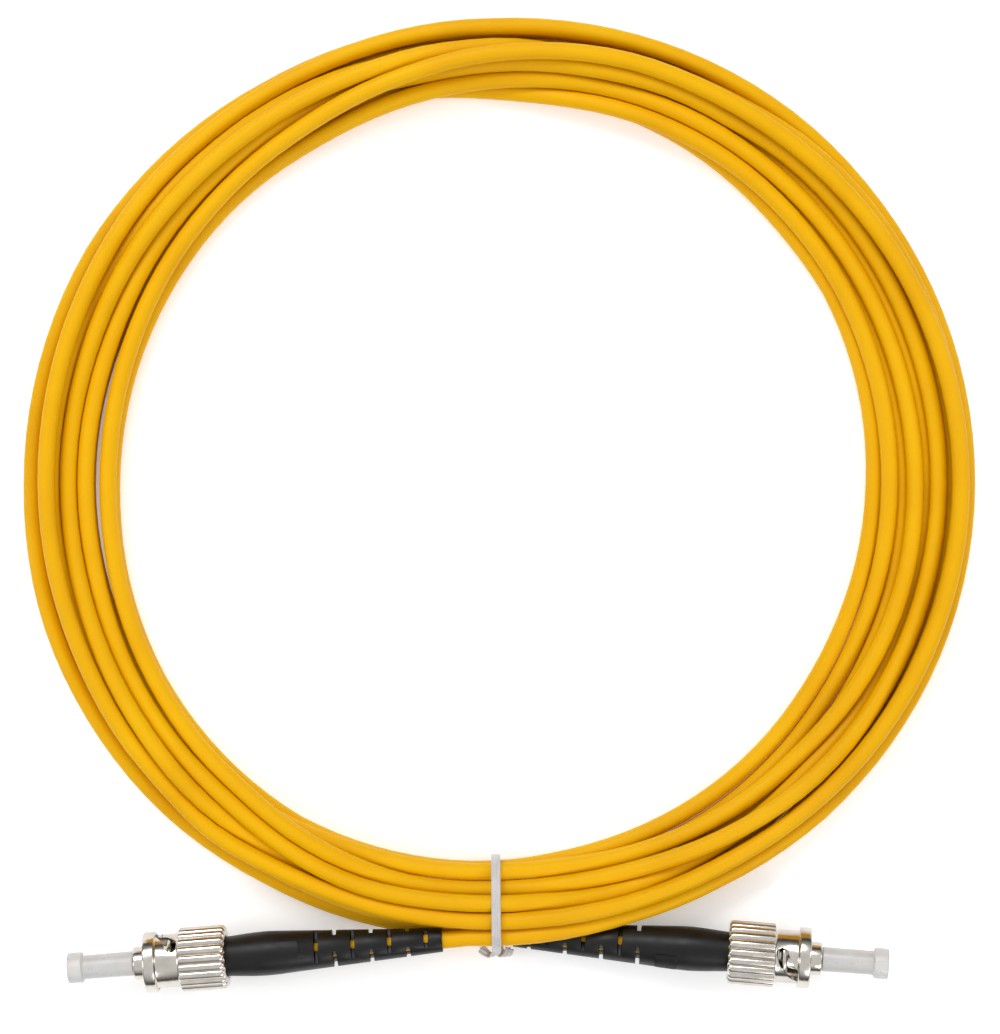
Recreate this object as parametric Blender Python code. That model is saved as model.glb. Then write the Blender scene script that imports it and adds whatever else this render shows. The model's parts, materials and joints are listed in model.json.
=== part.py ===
"""Simplex fibre optic patch cord: a coiled 3 mm cord with a bayonet connector and dust cap on each end.

The cord lies coiled flat on a surface, held by a twist tie. Both ends leave the coil at the front and
point away from each other. +X runs along the two connectors, +Z is up, and the origin is on the surface
under the middle of the pair of connectors.
"""

import math

import bmesh
import bpy
import numpy as np
from mathutils import Euler, Matrix, Vector

MM = 0.001

# Cord and coil
CORD_RADIUS = 1.5
COIL_CENTRE = (2.35, 81.77)
COIL_TOP = 7.4
COIL_SECTIONS = 96
TIE_CLOCK = 270.5
TIE_LIFT = 0.85
TIE_LIFT_SPREAD = 9.0

# Where each connector's boot mouth stands, the way the connector points, its climb, and its roll
ENDS = {
    "a": {"mouth": (-6.33, 2.84, 5.65), "heading": 184.35, "climb": 0.0, "nut_roll": 37.0, "boot_roll": 28.0},
    "b": {"mouth": (6.06, 3.20, 2.38), "heading": -3.67, "climb": 5.0, "nut_roll": -15.0, "boot_roll": 62.0},
}

# Stations along a connector, from the boot's mouth out to the end of the dust cap
BOOT_BELLY = 30.3
BOOT_SHOULDER = 37.1
BOOT_FRONT = 38.3
NUT_REAR = 37.3
NUT_GRIP_FRONT = 45.35
NUT_WINDOW_FRONT = 49.45
NUT_FRONT = 51.5
NUT_SHOULDER = (40.8, 42.3)
SPRING_SEAT = 46.6
FLANGE_FRONT = 47.4
BODY_REAR = 34.4
BODY_STEP = 39.5
FERRULE_REAR = 44.95
COLLAR_FRONT = 53.45
FERRULE_TIP = 62.3
CAP_HEAD = 62.45
CAP_END = 64.9
JACKET_END = 33.8

# Radii of the connector's pieces
FERRULE_RADIUS = 1.25
COLLAR_RADIUS = 2.825
SHAFT_RADIUS = 2.9
POST_RADIUS = 1.9
FLANGE_RADIUS = 3.85
NUT_BORE_RADIUS = 4.05
NUT_RECESS_RADIUS = 3.7
NUT_SHOULDER_RADIUS = 3.1
NUT_WINDOW_RADIUS = 4.55
NUT_RING_RADIUS = 5.2
NUT_GRIP_RADIUS = 5.475
BOOT_MOUTH_RADIUS = 2.05
BOOT_BELLY_RADIUS = 3.82
BOOT_FRONT_RADIUS = 3.4
BOOT_BORE_RADIUS = 1.65
CAP_RADIUS = 2.075
CAP_HEAD_RADIUS = 2.65

FLUTES = 20
FLUTE_DEPTH = 0.38
STEPS_PER_FLUTE = 3
SLOT_ROWS = 7
SLOT_FIRST = 2.8
SLOT_PITCH = 3.16
SLOT_WIDTH = 0.75
SLOT_DEPTH_FROM_AXIS = 1.45
SPRING_TURNS = 3.5
SPRING_RADIUS = 3.45
SPRING_WIRE = 0.22

ROUND_STEPS = 20
SMALL_STEPS = 12
SMOOTH_ANGLE = math.radians(40)

# Clock angle about the coil's centre, then the coil's inner and outer radius there
COIL_OUTLINE = (
    (0, 65.2, 84.9),
    (30, 66.7, 84.7),
    (60, 66.3, 82.9),
    (90, 66.3, 81.0),
    (120, 65.2, 81.0),
    (150, 65.2, 82.2),
    (180, 65.0, 82.0),
    (210, 66.2, 82.6),
    (240, 66.9, 80.0),
    (247.5, 66.8, 79.8),
    (251.25, 66.6, 75.9),
    (270, 65.6, 75.9),
    (288.75, 64.7, 75.9),
    (292.5, 64.5, 80.2),
    (300, 64.2, 80.5),
    (330, 64.3, 83.2),
)

# Clock angle, radius from the coil's centre and height of each tail between its boot and the coil
TAIL_A_ROUTE = ((266.0, 78.6, 5.9), (271.0, 78.35, 6.6), (276.5, 78.15, 7.25), (283.0, 78.1, 6.75), (289.6, 78.3, 5.4))
TAIL_B_ROUTE = ((269.2, 78.5, 2.3), (265.5, 78.3, 2.2), (261.5, 78.2, 1.9), (257.0, 78.3, 1.6), (252.6, 78.5, 1.55))

# The tie's path across the bundle: radius from the coil's centre, and height
TIE_ROUTE = (
    (83.4, 2.5),
    (81.6, 2.3),
    (80.8, 3.4),
    (80.6, 6.3),
    (79.8, 8.0),
    (77.9, 9.3),
    (75.3, 10.0),
    (72.2, 9.5),
    (69.1, 8.9),
    (66.7, 7.75),
    (64.95, 5.9),
    (64.65, 3.8),
    (64.9, 1.4),
    (66.4, 0.38),
    (72.0, 0.36),
    (79.0, 0.36),
    (81.2, 0.7),
    (83.2, 1.2),
)
TIE_HALF_WIDTH = 0.8
TIE_HALF_THICKNESS = 0.28
TIE_WIRE_HOLE = 0.17
TIE_WIRE_RADIUS = 0.12

MATERIALS = {
    "jacket_yellow": ((0.96, 0.60, 0.03), 0.42, 0.0),
    "boot_rubber": ((0.02, 0.02, 0.021), 0.62, 0.0),
    "nickel_plate": ((0.80, 0.77, 0.72), 0.22, 1.0),
    "spring_steel": ((0.62, 0.60, 0.58), 0.30, 1.0),
    "zirconia": ((0.93, 0.93, 0.91), 0.18, 0.0),
    "cap_plastic": ((0.86, 0.86, 0.85), 0.35, 0.0),
    "crimp_brass": ((0.75, 0.62, 0.36), 0.32, 1.0),
    "buffer_plastic": ((0.92, 0.91, 0.88), 0.40, 0.0),
    "aramid": ((0.86, 0.70, 0.22), 0.75, 0.0),
    "tie_plastic": ((0.82, 0.82, 0.83), 0.38, 0.0),
}


def clear_scene():
    """Removes whatever the file started with."""
    for thing in list(bpy.data.objects):
        bpy.data.objects.remove(thing)


def material(slot):
    """The named Principled material, made once."""
    if slot in bpy.data.materials:
        return bpy.data.materials[slot]
    colour, roughness, metallic = MATERIALS[slot]
    made = bpy.data.materials.new(slot)
    made.use_nodes = True
    shader = made.node_tree.nodes["Principled BSDF"]
    shader.inputs["Base Color"].default_value = (*colour, 1.0)
    shader.inputs["Roughness"].default_value = roughness
    shader.inputs["Metallic"].default_value = metallic
    return made


def place(thing, slot, parent=None):
    """Links an object, gives it a material of its own and hangs it on its empty."""
    bpy.context.scene.collection.objects.link(thing)
    own = material(slot).copy()
    own.name = thing.name + "_" + slot
    thing.data.materials.append(own)
    thing.parent = parent
    return thing


def mesh_object(name, bm, slot, parent=None):
    """Closes a bmesh into a smooth-shaded object."""
    bmesh.ops.recalc_face_normals(bm, faces=bm.faces)
    mesh = bpy.data.meshes.new(name)
    bm.to_mesh(mesh)
    bm.free()
    mesh.shade_smooth()
    mesh.set_sharp_from_angle(angle=SMOOTH_ANGLE)
    return place(bpy.data.objects.new(name, mesh), slot, parent)


def turned(name, profile, slot, parent, steps=ROUND_STEPS):
    """Spins a closed (station, radius) profile about the connector's own X axis."""
    bm = bmesh.new()
    rim = [bm.verts.new((x * MM, 0.0, r * MM)) for x, r in profile]
    edges = [bm.edges.new((rim[i], rim[(i + 1) % len(rim)])) for i in range(len(rim))]
    bmesh.ops.spin(
        bm, geom=rim + edges, cent=(0, 0, 0), axis=(1, 0, 0), angle=math.tau, steps=steps, use_merge=True
    )
    bmesh.ops.remove_doubles(bm, verts=bm.verts, dist=0.002 * MM)
    return mesh_object(name, bm, slot, parent)


def tube(name, start, end, inner, outer, slot, parent, steps=ROUND_STEPS):
    """A plain tube between two stations."""
    profile = ((start, inner), (start, outer), (end, outer), (end, inner))
    return turned(name, profile, slot, parent, steps)


def bridge_rings(bm, rings, closed):
    """Joins rings of vertices into a skin, all the way round if it is closed."""
    count = len(rings[0])
    last = len(rings) if closed else len(rings) - 1
    for i in range(last):
        here = rings[i]
        there = rings[(i + 1) % len(rings)]
        for k in range(count):
            m = (k + 1) % count
            bm.faces.new((here[k], here[m], there[m], there[k]))


def box(bm, low, high, turn):
    """Adds a box between two corners, turned by a matrix."""
    made = bmesh.ops.create_cube(bm, size=1.0)["verts"]
    size = [(h - l) * MM for l, h in zip(low, high)]
    middle = [(h + l) / 2 * MM for l, h in zip(low, high)]
    bmesh.ops.scale(bm, vec=size, verts=made)
    bmesh.ops.translate(bm, vec=middle, verts=made)
    bmesh.ops.transform(bm, matrix=turn, verts=made)


def boolean(target, name, bm, operation, parent):
    """Cuts or joins a hidden tool shape that rides on the same empty."""
    bmesh.ops.recalc_face_normals(bm, faces=bm.faces)
    mesh = bpy.data.meshes.new(name)
    bm.to_mesh(mesh)
    bm.free()
    tool = bpy.data.objects.new(name, mesh)
    bpy.context.scene.collection.objects.link(tool)
    tool.parent = parent
    tool.hide_render = True
    tool.display_type = "WIRE"
    modifier = target.modifiers.new(name, "BOOLEAN")
    modifier.operation = operation
    modifier.solver = "EXACT"
    modifier.object = tool


def smooth_route(points, spacing):
    """Reads an even set of points off a Catmull-Rom curve through the given ones."""
    knots = [Vector(p) for p in points]
    knots = [2 * knots[0] - knots[1]] + knots + [2 * knots[-1] - knots[-2]]
    fine = []
    for i in range(1, len(knots) - 2):
        before, here, there, after = knots[i - 1 : i + 3]
        for step in range(24):
            t = step / 24
            fine.append(
                0.5
                * (
                    2 * here
                    + (there - before) * t
                    + (2 * before - 5 * here + 4 * there - after) * t * t
                    + (3 * here - before - 3 * there + after) * t ** 3
                )
            )
    fine.append(knots[-2])
    along = np.cumsum([0.0] + [(q - p).length for p, q in zip(fine, fine[1:])])
    count = max(2, round(along[-1] / spacing) + 1)
    wanted = np.linspace(0.0, along[-1], count)
    columns = [np.interp(wanted, along, [p[axis] for p in fine]) for axis in range(3)]
    return [Vector(p) for p in zip(*columns)]


def wire(name, points, radius, slot, parent=None, resolution=2):
    """A round wire or cord: one poly spline with a bevel and filled caps."""
    curve = bpy.data.curves.new(name, "CURVE")
    curve.dimensions = "3D"
    curve.bevel_depth = radius * MM
    curve.bevel_resolution = resolution
    curve.use_fill_caps = True
    spline = curve.splines.new("POLY")
    spline.points.add(len(points) - 1)
    for knot, point in zip(spline.points, points):
        knot.co = (*(Vector(point) * MM), 1.0)
    spline.use_smooth = True
    return place(bpy.data.objects.new(name, curve), slot, parent)


def coil_point(clock, radius, height):
    """A point given by its clock angle and radius about the coil's centre, in millimetres."""
    turn = math.radians(clock)
    return Vector((COIL_CENTRE[0] + radius * math.cos(turn), COIL_CENTRE[1] + radius * math.sin(turn), height))


def end_matrix(end):
    """The connector's own frame: X from the boot's mouth outwards, in millimetres."""
    turn = Euler((0.0, -math.radians(end["climb"]), math.radians(end["heading"])), "XYZ").to_matrix()
    return Matrix.Translation(Vector(end["mouth"])) @ turn.to_4x4()


def make_axis(key, end):
    """The empty on the connector's axis that all of its pieces hang on."""
    axis = bpy.data.objects.new("connector_axis_" + key, None)
    bpy.context.scene.collection.objects.link(axis)
    place_matrix = end_matrix(end)
    axis.location = place_matrix.translation * MM
    axis.rotation_euler = place_matrix.to_euler()
    return axis


def make_ferrule(key, axis):
    """The ceramic ferrule, with a chamfered flat tip and a counterbore for the buffered fibre."""
    profile = (
        (FERRULE_REAR, 0.52),
        (FERRULE_REAR, FERRULE_RADIUS - 0.1),
        (FERRULE_REAR + 0.2, FERRULE_RADIUS),
        (FERRULE_TIP - 0.45, FERRULE_RADIUS),
        (FERRULE_TIP, 0.85),
        (FERRULE_TIP, 0.0),
        (FERRULE_REAR + 3.2, 0.0),
        (FERRULE_REAR + 3.0, 0.52),
    )
    return turned("ferrule_" + key, profile, "zirconia", axis)


def make_plug_body(key, axis):
    """The plug's backbone: front collar with its key, spring flange, shaft, clip groove and crimp post."""
    profile = (
        (BODY_REAR, 0.9),
        (BODY_REAR, POST_RADIUS),
        (BODY_STEP, POST_RADIUS),
        (BODY_STEP, SHAFT_RADIUS),
        (39.9, SHAFT_RADIUS),
        (39.9, 2.5),
        (40.7, 2.5),
        (40.7, SHAFT_RADIUS),
        (SPRING_SEAT, SHAFT_RADIUS),
        (SPRING_SEAT, FLANGE_RADIUS),
        (FLANGE_FRONT, FLANGE_RADIUS),
        (FLANGE_FRONT, COLLAR_RADIUS),
        (COLLAR_FRONT - 0.3, COLLAR_RADIUS),
        (COLLAR_FRONT, COLLAR_RADIUS - 0.25),
        (COLLAR_FRONT, FERRULE_RADIUS + 0.06),
        (FERRULE_REAR - 0.15, FERRULE_RADIUS + 0.06),
        (FERRULE_REAR - 0.15, 0.9),
    )
    body = turned("plug_body_" + key, profile, "nickel_plate", axis)
    bm = bmesh.new()
    box(bm, (50.4, -0.5, -3.55), (53.0, 0.5, -2.4), Matrix.Identity(4))
    boolean(body, "key_tool_" + key, bm, "UNION", axis)
    return body


def nut_rings():
    """The nut's closed profile as (station, radius, share of the flute's depth)."""
    grip = NUT_GRIP_RADIUS
    return (
        (NUT_REAR, NUT_RECESS_RADIUS, 0.0),
        (NUT_REAR, grip - 0.75, 0.0),
        (NUT_REAR + 0.25, grip - 0.22, 0.6),
        (NUT_REAR + 0.7, grip, 1.0),
        (NUT_GRIP_FRONT - 0.1, grip, 1.0),
        (NUT_GRIP_FRONT, grip - 0.15, 0.6),
        (NUT_GRIP_FRONT, NUT_WINDOW_RADIUS, 0.0),
        (NUT_WINDOW_FRONT, NUT_WINDOW_RADIUS, 0.0),
        (NUT_WINDOW_FRONT, NUT_RING_RADIUS, 0.0),
        (NUT_FRONT - 0.3, NUT_RING_RADIUS, 0.0),
        (NUT_FRONT, NUT_RING_RADIUS - 0.3, 0.0),
        (NUT_FRONT, NUT_BORE_RADIUS, 0.0),
        (NUT_SHOULDER[1], NUT_BORE_RADIUS, 0.0),
        (NUT_SHOULDER[1], NUT_SHOULDER_RADIUS, 0.0),
        (NUT_SHOULDER[0], NUT_SHOULDER_RADIUS, 0.0),
        (NUT_SHOULDER[0], NUT_RECESS_RADIUS, 0.0),
    )


def bayonet_ramp(bm, start_angle):
    """Adds the tool for one bayonet slot: an entry under the ring, a helical ramp and a round detent."""
    half_width = 1.05
    inner = NUT_BORE_RADIUS - 0.4
    outer = NUT_RING_RADIUS - 0.42
    route = [(52.0, 62.0), (50.2, 60.0), (49.2, 55.0), (48.4, 44.0), (47.6, 30.0), (47.0, 16.0), (46.6, 2.0), (46.5, -6.0)]
    rings = []
    for i, (station, angle) in enumerate(route):
        before = route[max(i - 1, 0)]
        after = route[min(i + 1, len(route) - 1)]
        run = Vector((after[0] - before[0], math.radians(after[1] - before[1]) * NUT_WINDOW_RADIUS)).normalized()
        side = Vector((-run.y, run.x)) * half_width
        ring = []
        for radius, sign in ((inner, -1), (inner, 1), (outer, 1), (outer, -1)):
            x = station + side.x * sign
            turn = math.radians(start_angle + angle) + side.y * sign / NUT_WINDOW_RADIUS
            ring.append(bm.verts.new((x * MM, -radius * math.sin(turn) * MM, radius * math.cos(turn) * MM)))
        rings.append(ring)
    bridge_rings(bm, rings, closed=False)
    bm.faces.new(rings[0])
    bm.faces.new(rings[-1])


def make_nut(key, end, axis):
    """The coupling nut: fluted grip, plain barrel with two bayonet slots, and a front ring."""
    steps = FLUTES * STEPS_PER_FLUTE
    bm = bmesh.new()
    rings = []
    for station, radius, share in nut_rings():
        ring = []
        for i in range(steps):
            turn = math.tau * i / steps
            dip = FLUTE_DEPTH * share * (0.5 - 0.5 * math.cos(FLUTES * turn))
            r = radius - dip
            ring.append(bm.verts.new((station * MM, -r * math.sin(turn) * MM, r * math.cos(turn) * MM)))
        rings.append(ring)
    bridge_rings(bm, rings, closed=True)
    nut = mesh_object("coupling_nut_" + key, bm, "nickel_plate", axis)
    for number, offset in enumerate((0.0, 180.0)):
        bm = bmesh.new()
        bayonet_ramp(bm, end["nut_roll"] + offset)
        boolean(nut, "bayonet_tool_%s%d" % (key, number), bm, "DIFFERENCE", axis)
    return nut


def make_boot(key, end, axis):
    """The strain relief boot, tapered towards the cord, with rows of cross slots that let it bend."""
    profile = (
        (0.0, BOOT_BORE_RADIUS),
        (0.0, BOOT_MOUTH_RADIUS - 0.12),
        (0.12, BOOT_MOUTH_RADIUS),
        (BOOT_BELLY - 1.5, BOOT_BELLY_RADIUS - 0.08),
        (BOOT_BELLY, BOOT_BELLY_RADIUS),
        (BOOT_BELLY + 2.5, BOOT_BELLY_RADIUS - 0.1),
        (BOOT_SHOULDER, BOOT_FRONT_RADIUS),
        (BOOT_FRONT, BOOT_FRONT_RADIUS),
        (BOOT_FRONT, 2.75),
        (BOOT_BELLY, 2.75),
        (BOOT_BELLY, BOOT_BORE_RADIUS),
    )
    boot = turned("boot_" + key, profile, "boot_rubber", axis)
    bm = bmesh.new()
    for row in range(SLOT_ROWS):
        station = SLOT_FIRST + row * SLOT_PITCH
        for side in (0.0, 180.0):
            roll = end["boot_roll"] + 90.0 * (row % 2) + side
            low = (station - SLOT_WIDTH / 2, -4.5, SLOT_DEPTH_FROM_AXIS)
            high = (station + SLOT_WIDTH / 2, 4.5, 5.0)
            box(bm, low, high, Matrix.Rotation(math.radians(roll), 4, "X"))
    boolean(boot, "slot_tool_" + key, bm, "DIFFERENCE", axis)
    return boot


def make_clip(key, axis):
    """The open retaining ring that keeps the nut on the body."""
    inner, outer = 2.58, 3.5
    low, high = 40.0, 40.6
    gap = 22.0
    bm = bmesh.new()
    rings = []
    for i in range(ROUND_STEPS + 1):
        turn = math.radians(gap + (360.0 - 2 * gap) * i / ROUND_STEPS)
        ring = []
        for x, r in ((low, inner), (low, outer), (high, outer), (high, inner)):
            ring.append(bm.verts.new((x * MM, -r * math.sin(turn) * MM, r * math.cos(turn) * MM)))
        rings.append(ring)
    bridge_rings(bm, rings, closed=False)
    bm.faces.new(rings[0])
    bm.faces.new(rings[-1])
    return mesh_object("retaining_clip_" + key, bm, "spring_steel", axis)


def make_spring(key, axis):
    """The compression spring between the body's flange and the nut's washer."""
    first = NUT_SHOULDER[1] + 0.55 + SPRING_WIRE
    last = SPRING_SEAT - 0.1 - SPRING_WIRE
    per_turn = 12
    count = round(SPRING_TURNS * per_turn)
    points = []
    for i in range(count + 1):
        turn = math.tau * i / per_turn
        x = first + (last - first) * i / count
        points.append((x, SPRING_RADIUS * math.sin(turn), SPRING_RADIUS * math.cos(turn)))
    return wire("nut_spring_" + key, points, SPRING_WIRE, "spring_steel", axis, resolution=1)


def make_cap(key, axis):
    """The dust cap that slides over the ferrule."""
    profile = (
        (COLLAR_FRONT + 0.1, FERRULE_RADIUS + 0.1),
        (COLLAR_FRONT + 0.1, CAP_RADIUS),
        (CAP_HEAD, CAP_RADIUS),
        (CAP_HEAD, CAP_HEAD_RADIUS - 0.1),
        (CAP_HEAD + 0.1, CAP_HEAD_RADIUS),
        (CAP_END - 0.3, CAP_HEAD_RADIUS),
        (CAP_END, CAP_HEAD_RADIUS - 0.3),
        (CAP_END, 0.0),
        (FERRULE_TIP + 0.5, 0.0),
        (FERRULE_TIP + 0.5, FERRULE_RADIUS + 0.1),
    )
    return turned("dust_cap_" + key, profile, "cap_plastic", axis)


def make_crimp_sleeve(key, axis):
    """The stepped crimp sleeve: its front grips the yarn on the post, its rear the jacket."""
    profile = (
        (30.7, CORD_RADIUS + 0.1),
        (30.7, 2.0),
        (33.9, 2.0),
        (34.3, 2.6),
        (39.2, 2.6),
        (39.2, 2.22),
        (34.1, 2.22),
        (33.9, CORD_RADIUS + 0.1),
    )
    return turned("crimp_sleeve_" + key, profile, "crimp_brass", axis)


def make_connector(key, end):
    """Every piece of one end, each its own object on the connector's axis."""
    axis = make_axis(key, end)
    make_ferrule(key, axis)
    make_plug_body(key, axis)
    make_nut(key, end, axis)
    make_boot(key, end, axis)
    make_clip(key, axis)
    make_spring(key, axis)
    make_cap(key, axis)
    make_crimp_sleeve(key, axis)
    washer_rear = NUT_SHOULDER[1] + 0.05
    tube("spring_washer_" + key, washer_rear, washer_rear + 0.4, 3.02, 3.9, "spring_steel", axis)
    tube("guide_tube_" + key, BODY_REAR + 0.1, FERRULE_REAR - 0.3, 0.55, 0.85, "crimp_brass", axis, SMALL_STEPS)
    tube("aramid_yarn_" + key, JACKET_END + 0.45, 39.1, POST_RADIUS + 0.05, 2.16, "aramid", axis)
    fibre = ((JACKET_END + 0.2, 0.0), (JACKET_END + 0.2, 0.45), (FERRULE_REAR + 2.8, 0.45), (FERRULE_REAR + 2.8, 0.0))
    turned("buffered_fibre_" + key, fibre, "buffer_plastic", axis, SMALL_STEPS)


def tail_points(end, route):
    """A tail's own points: straight out of the crimp and the boot, then along its route."""
    frame = end_matrix(end)
    straight = [frame @ Vector((station, 0.0, 0.0)) for station in (JACKET_END, 22.0, 11.0, 2.0, -2.5)]
    return straight + [coil_point(*stop) for stop in route]


def make_tails():
    """The cord between each connector and the coil."""
    for key, route in (("a", TAIL_A_ROUTE), ("b", TAIL_B_ROUTE)):
        points = smooth_route(tail_points(ENDS[key], route), 2.4 * CORD_RADIUS)
        wire("cord_tail_" + key, points, CORD_RADIUS, "jacket_yellow")


def make_coil():
    """The outer shape of the wound cord: a ring that narrows where the ends leave it."""
    clocks = [row[0] for row in COIL_OUTLINE]
    inners = [row[1] for row in COIL_OUTLINE]
    outers = [row[2] for row in COIL_OUTLINE]
    bm = bmesh.new()
    rings = []
    for i in range(COIL_SECTIONS):
        clock = 360.0 * i / COIL_SECTIONS
        inner = np.interp(clock, clocks, inners, period=360.0)
        outer = np.interp(clock, clocks, outers, period=360.0)
        away = abs(clock - TIE_CLOCK) / TIE_LIFT_SPREAD
        base = TIE_LIFT * max(0.0, 1.0 - away)
        section = (
            (inner + 1.3, base),
            (outer - 1.3, base),
            (outer, base + 1.6),
            (outer, COIL_TOP - 1.8),
            (outer - 1.6, COIL_TOP),
            (inner + 1.6, COIL_TOP),
            (inner, COIL_TOP - 1.8),
            (inner, base + 1.6),
        )
        rings.append([bm.verts.new(coil_point(clock, r, z) * MM) for r, z in section])
    bridge_rings(bm, rings, closed=True)
    mesh_object("cord_coil", bm, "jacket_yellow")


def make_tie():
    """The twist tie: a flat plastic strip wrapped once round the bundle, with its wire inside."""
    route = smooth_route([(r, z, 0.0) for r, z in TIE_ROUTE], 1.9)
    around = math.radians(TIE_CLOCK)
    outwards = Vector((math.cos(around), math.sin(around), 0.0))
    across = Vector((-math.sin(around), math.cos(around), 0.0))
    up = Vector((0.0, 0.0, 1.0))
    middle = Vector((*COIL_CENTRE, 0.0))
    centres = []
    normals = []
    for i, stop in enumerate(route):
        run = route[min(i + 1, len(route) - 1)] - route[max(i - 1, 0)]
        run.normalize()
        centres.append(middle + outwards * stop.x + up * stop.y)
        normals.append(outwards * -run.y + up * run.x)
    strip = ((-1.0, 0.0), (-0.85, 0.7), (-0.45, 1.0), (0.45, 1.0), (0.85, 0.7), (1.0, 0.0))
    strip = strip + tuple((x, -y) for x, y in reversed(strip[1:-1]))
    hole = [(math.cos(math.tau * k / 6) * TIE_WIRE_HOLE, math.sin(math.tau * k / 6) * TIE_WIRE_HOLE) for k in range(6)]
    bm = bmesh.new()
    outside = []
    inside = []
    for centre, normal in zip(centres, normals):
        skin = [centre + across * x * TIE_HALF_WIDTH + normal * y * TIE_HALF_THICKNESS for x, y in strip]
        bore = [centre + across * x + normal * y for x, y in hole]
        outside.append([bm.verts.new(p * MM) for p in skin])
        inside.append([bm.verts.new(p * MM) for p in bore])
    bridge_rings(bm, outside, closed=False)
    bridge_rings(bm, inside, closed=False)
    for end in (0, -1):
        rims = []
        for loop in (outside[end], inside[end]):
            for k, corner in enumerate(loop):
                rims.append(bm.edges.get((corner, loop[(k + 1) % len(loop)])))
        bmesh.ops.bridge_loops(bm, edges=rims)
    mesh_object("tie_strip", bm, "tie_plastic")
    wire("tie_wire", centres, TIE_WIRE_RADIUS, "spring_steel", resolution=0)


clear_scene()
for side, description in ENDS.items():
    make_connector(side, description)
make_tails()
make_coil()
make_tie()
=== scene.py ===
"""Looks for the coiled fibre optic patch cord: visible pieces, materials, light and camera."""

import json
import math

import bmesh
import bpy
import numpy as np
from mathutils import Matrix, Vector


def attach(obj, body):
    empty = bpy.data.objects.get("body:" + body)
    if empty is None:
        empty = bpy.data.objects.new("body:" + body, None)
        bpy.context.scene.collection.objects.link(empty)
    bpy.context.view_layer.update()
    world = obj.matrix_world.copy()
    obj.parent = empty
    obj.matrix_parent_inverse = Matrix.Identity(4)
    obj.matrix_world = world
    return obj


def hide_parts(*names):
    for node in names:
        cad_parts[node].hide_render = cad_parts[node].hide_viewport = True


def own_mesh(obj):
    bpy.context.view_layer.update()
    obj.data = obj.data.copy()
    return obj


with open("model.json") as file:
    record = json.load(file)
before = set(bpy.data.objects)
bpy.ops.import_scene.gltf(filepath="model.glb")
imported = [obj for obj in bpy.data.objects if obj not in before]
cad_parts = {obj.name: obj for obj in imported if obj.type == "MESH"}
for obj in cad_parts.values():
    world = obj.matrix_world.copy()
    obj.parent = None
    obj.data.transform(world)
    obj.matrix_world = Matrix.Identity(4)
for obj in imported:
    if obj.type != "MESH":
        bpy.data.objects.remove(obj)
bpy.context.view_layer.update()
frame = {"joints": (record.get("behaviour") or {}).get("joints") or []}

MM = 0.001
CORD_RADIUS = 1.5
COIL_CENTRE = (2.35, 81.77)
COIL_RADIUS = 73.9
LANE = 2.99
LAYER = 2.6
STEPS_PER_TURN = 120
CLOCK_STEP = 360 // STEPS_PER_TURN

# The winding, one row for each turn from connector A to connector B: how far out the turn lies at the
# coil's right side, left side and bottom, in cord diameters from the mean radius, then how many layers up
# it starts at each, before the winding settles. A turn passes smoothly from one place to the next.
WINDING = (
    ((3.0, 1.0, 0.5), (0.5, 3.0, 3.0)),
    ((2.5, -2.5, -1.0), (3.5, 3.5, 1.5)),
    ((1.5, -1.0, -0.5), (2.5, 2.5, 2.0)),
    ((0.5, 0.0, 0.0), (1.5, 2.0, 1.0)),
    ((-1.0, 1.0, -1.0), (1.0, 1.0, 0.0)),
    ((-1.5, -1.0, -2.0), (1.0, 0.5, 1.0)),
    ((0.0, -2.5, -2.5), (2.0, 1.5, 0.0)),
    ((-2.5, 1.5, 1.0), (0.0, 0.0, 0.5)),
    ((2.5, 0.0, 0.0), (1.0, 1.0, 0.0)),
)
# The last turn leaves for connector B after its left side
LAST_TURN = ((2.0, 2.5), (0.0, 0.0))
TURNS = len(WINDING) + 1
PLACES = (0.0, 180.0, 270.0)
STEPS_BETWEEN_PLACES = 8
# Clock angle, lane and layer where connector A's tail joins the coil
JOINING_PLACES = ((300.0, 1.8, 1.2), (330.0, 2.6, 0.4))
# Each round of settling: how strongly a turn keeps its lane, how far it falls, how much it evens out
SETTLING = (0.06, 0.03, 0.35)
RESTING = (0.015, 0.008, 0.22)
ROUNDS = 620
RESTING_ROUNDS = 160
PUSHES_PER_ROUND = 3
LARGEST_PUSH = 0.4
FIRST_SMOOTHINGS = 14
CORD_GAP = 0.03
BOOT_GAP = 0.05
SMALLEST_DISTANCE = 0.05
# The floor under the winding is lifted near the tie, whose strip passes below it
LIFT_CLOCK = 269.2
LIFT_HEIGHT = 0.72
LIFT_FLAT = 1.3
LIFT_FADE = 12.0
BOOT_LENGTH = 30.0
# Clock angle, radius from the coil's centre and height of each tail between its boot and the coil
TAIL_A_ROUTE = (
    (266.0, 78.6, 5.9),
    (271.0, 78.35, 6.6),
    (276.5, 78.15, 7.25),
    (283.0, 78.1, 6.75),
    (289.6, 78.3, 5.4),
)
TAIL_B_ROUTE = (
    (252.6, 78.5, 1.55),
    (257.0, 78.3, 1.6),
    (261.5, 78.2, 1.9),
    (265.5, 78.3, 2.2),
    (269.2, 78.5, 2.3),
)
# Stations along a connector through which the cord enters its boot
TAIL_STATIONS = (28.0, 22.0, 11.0, 2.0, -2.5)
# Clock angle, then the bundle's inner and outer radius there
OUTLINE = (
    (0, 65.2, 85.3),
    (30, 66.7, 85.1),
    (60, 66.3, 82.9),
    (90, 66.3, 81.0),
    (120, 65.2, 81.0),
    (150, 65.2, 82.2),
    (180, 65.0, 82.0),
    (210, 66.2, 82.6),
    (240, 66.9, 80.4),
    (255, 66.3, 80.0),
    (270, 65.6, 79.9),
    (288, 64.7, 80.2),
    (300, 64.2, 80.5),
    (330, 64.3, 83.6),
)

JOINTS = {joint["name"]: joint for joint in frame["joints"]}
AXIS_STATION = 44.0


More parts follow.
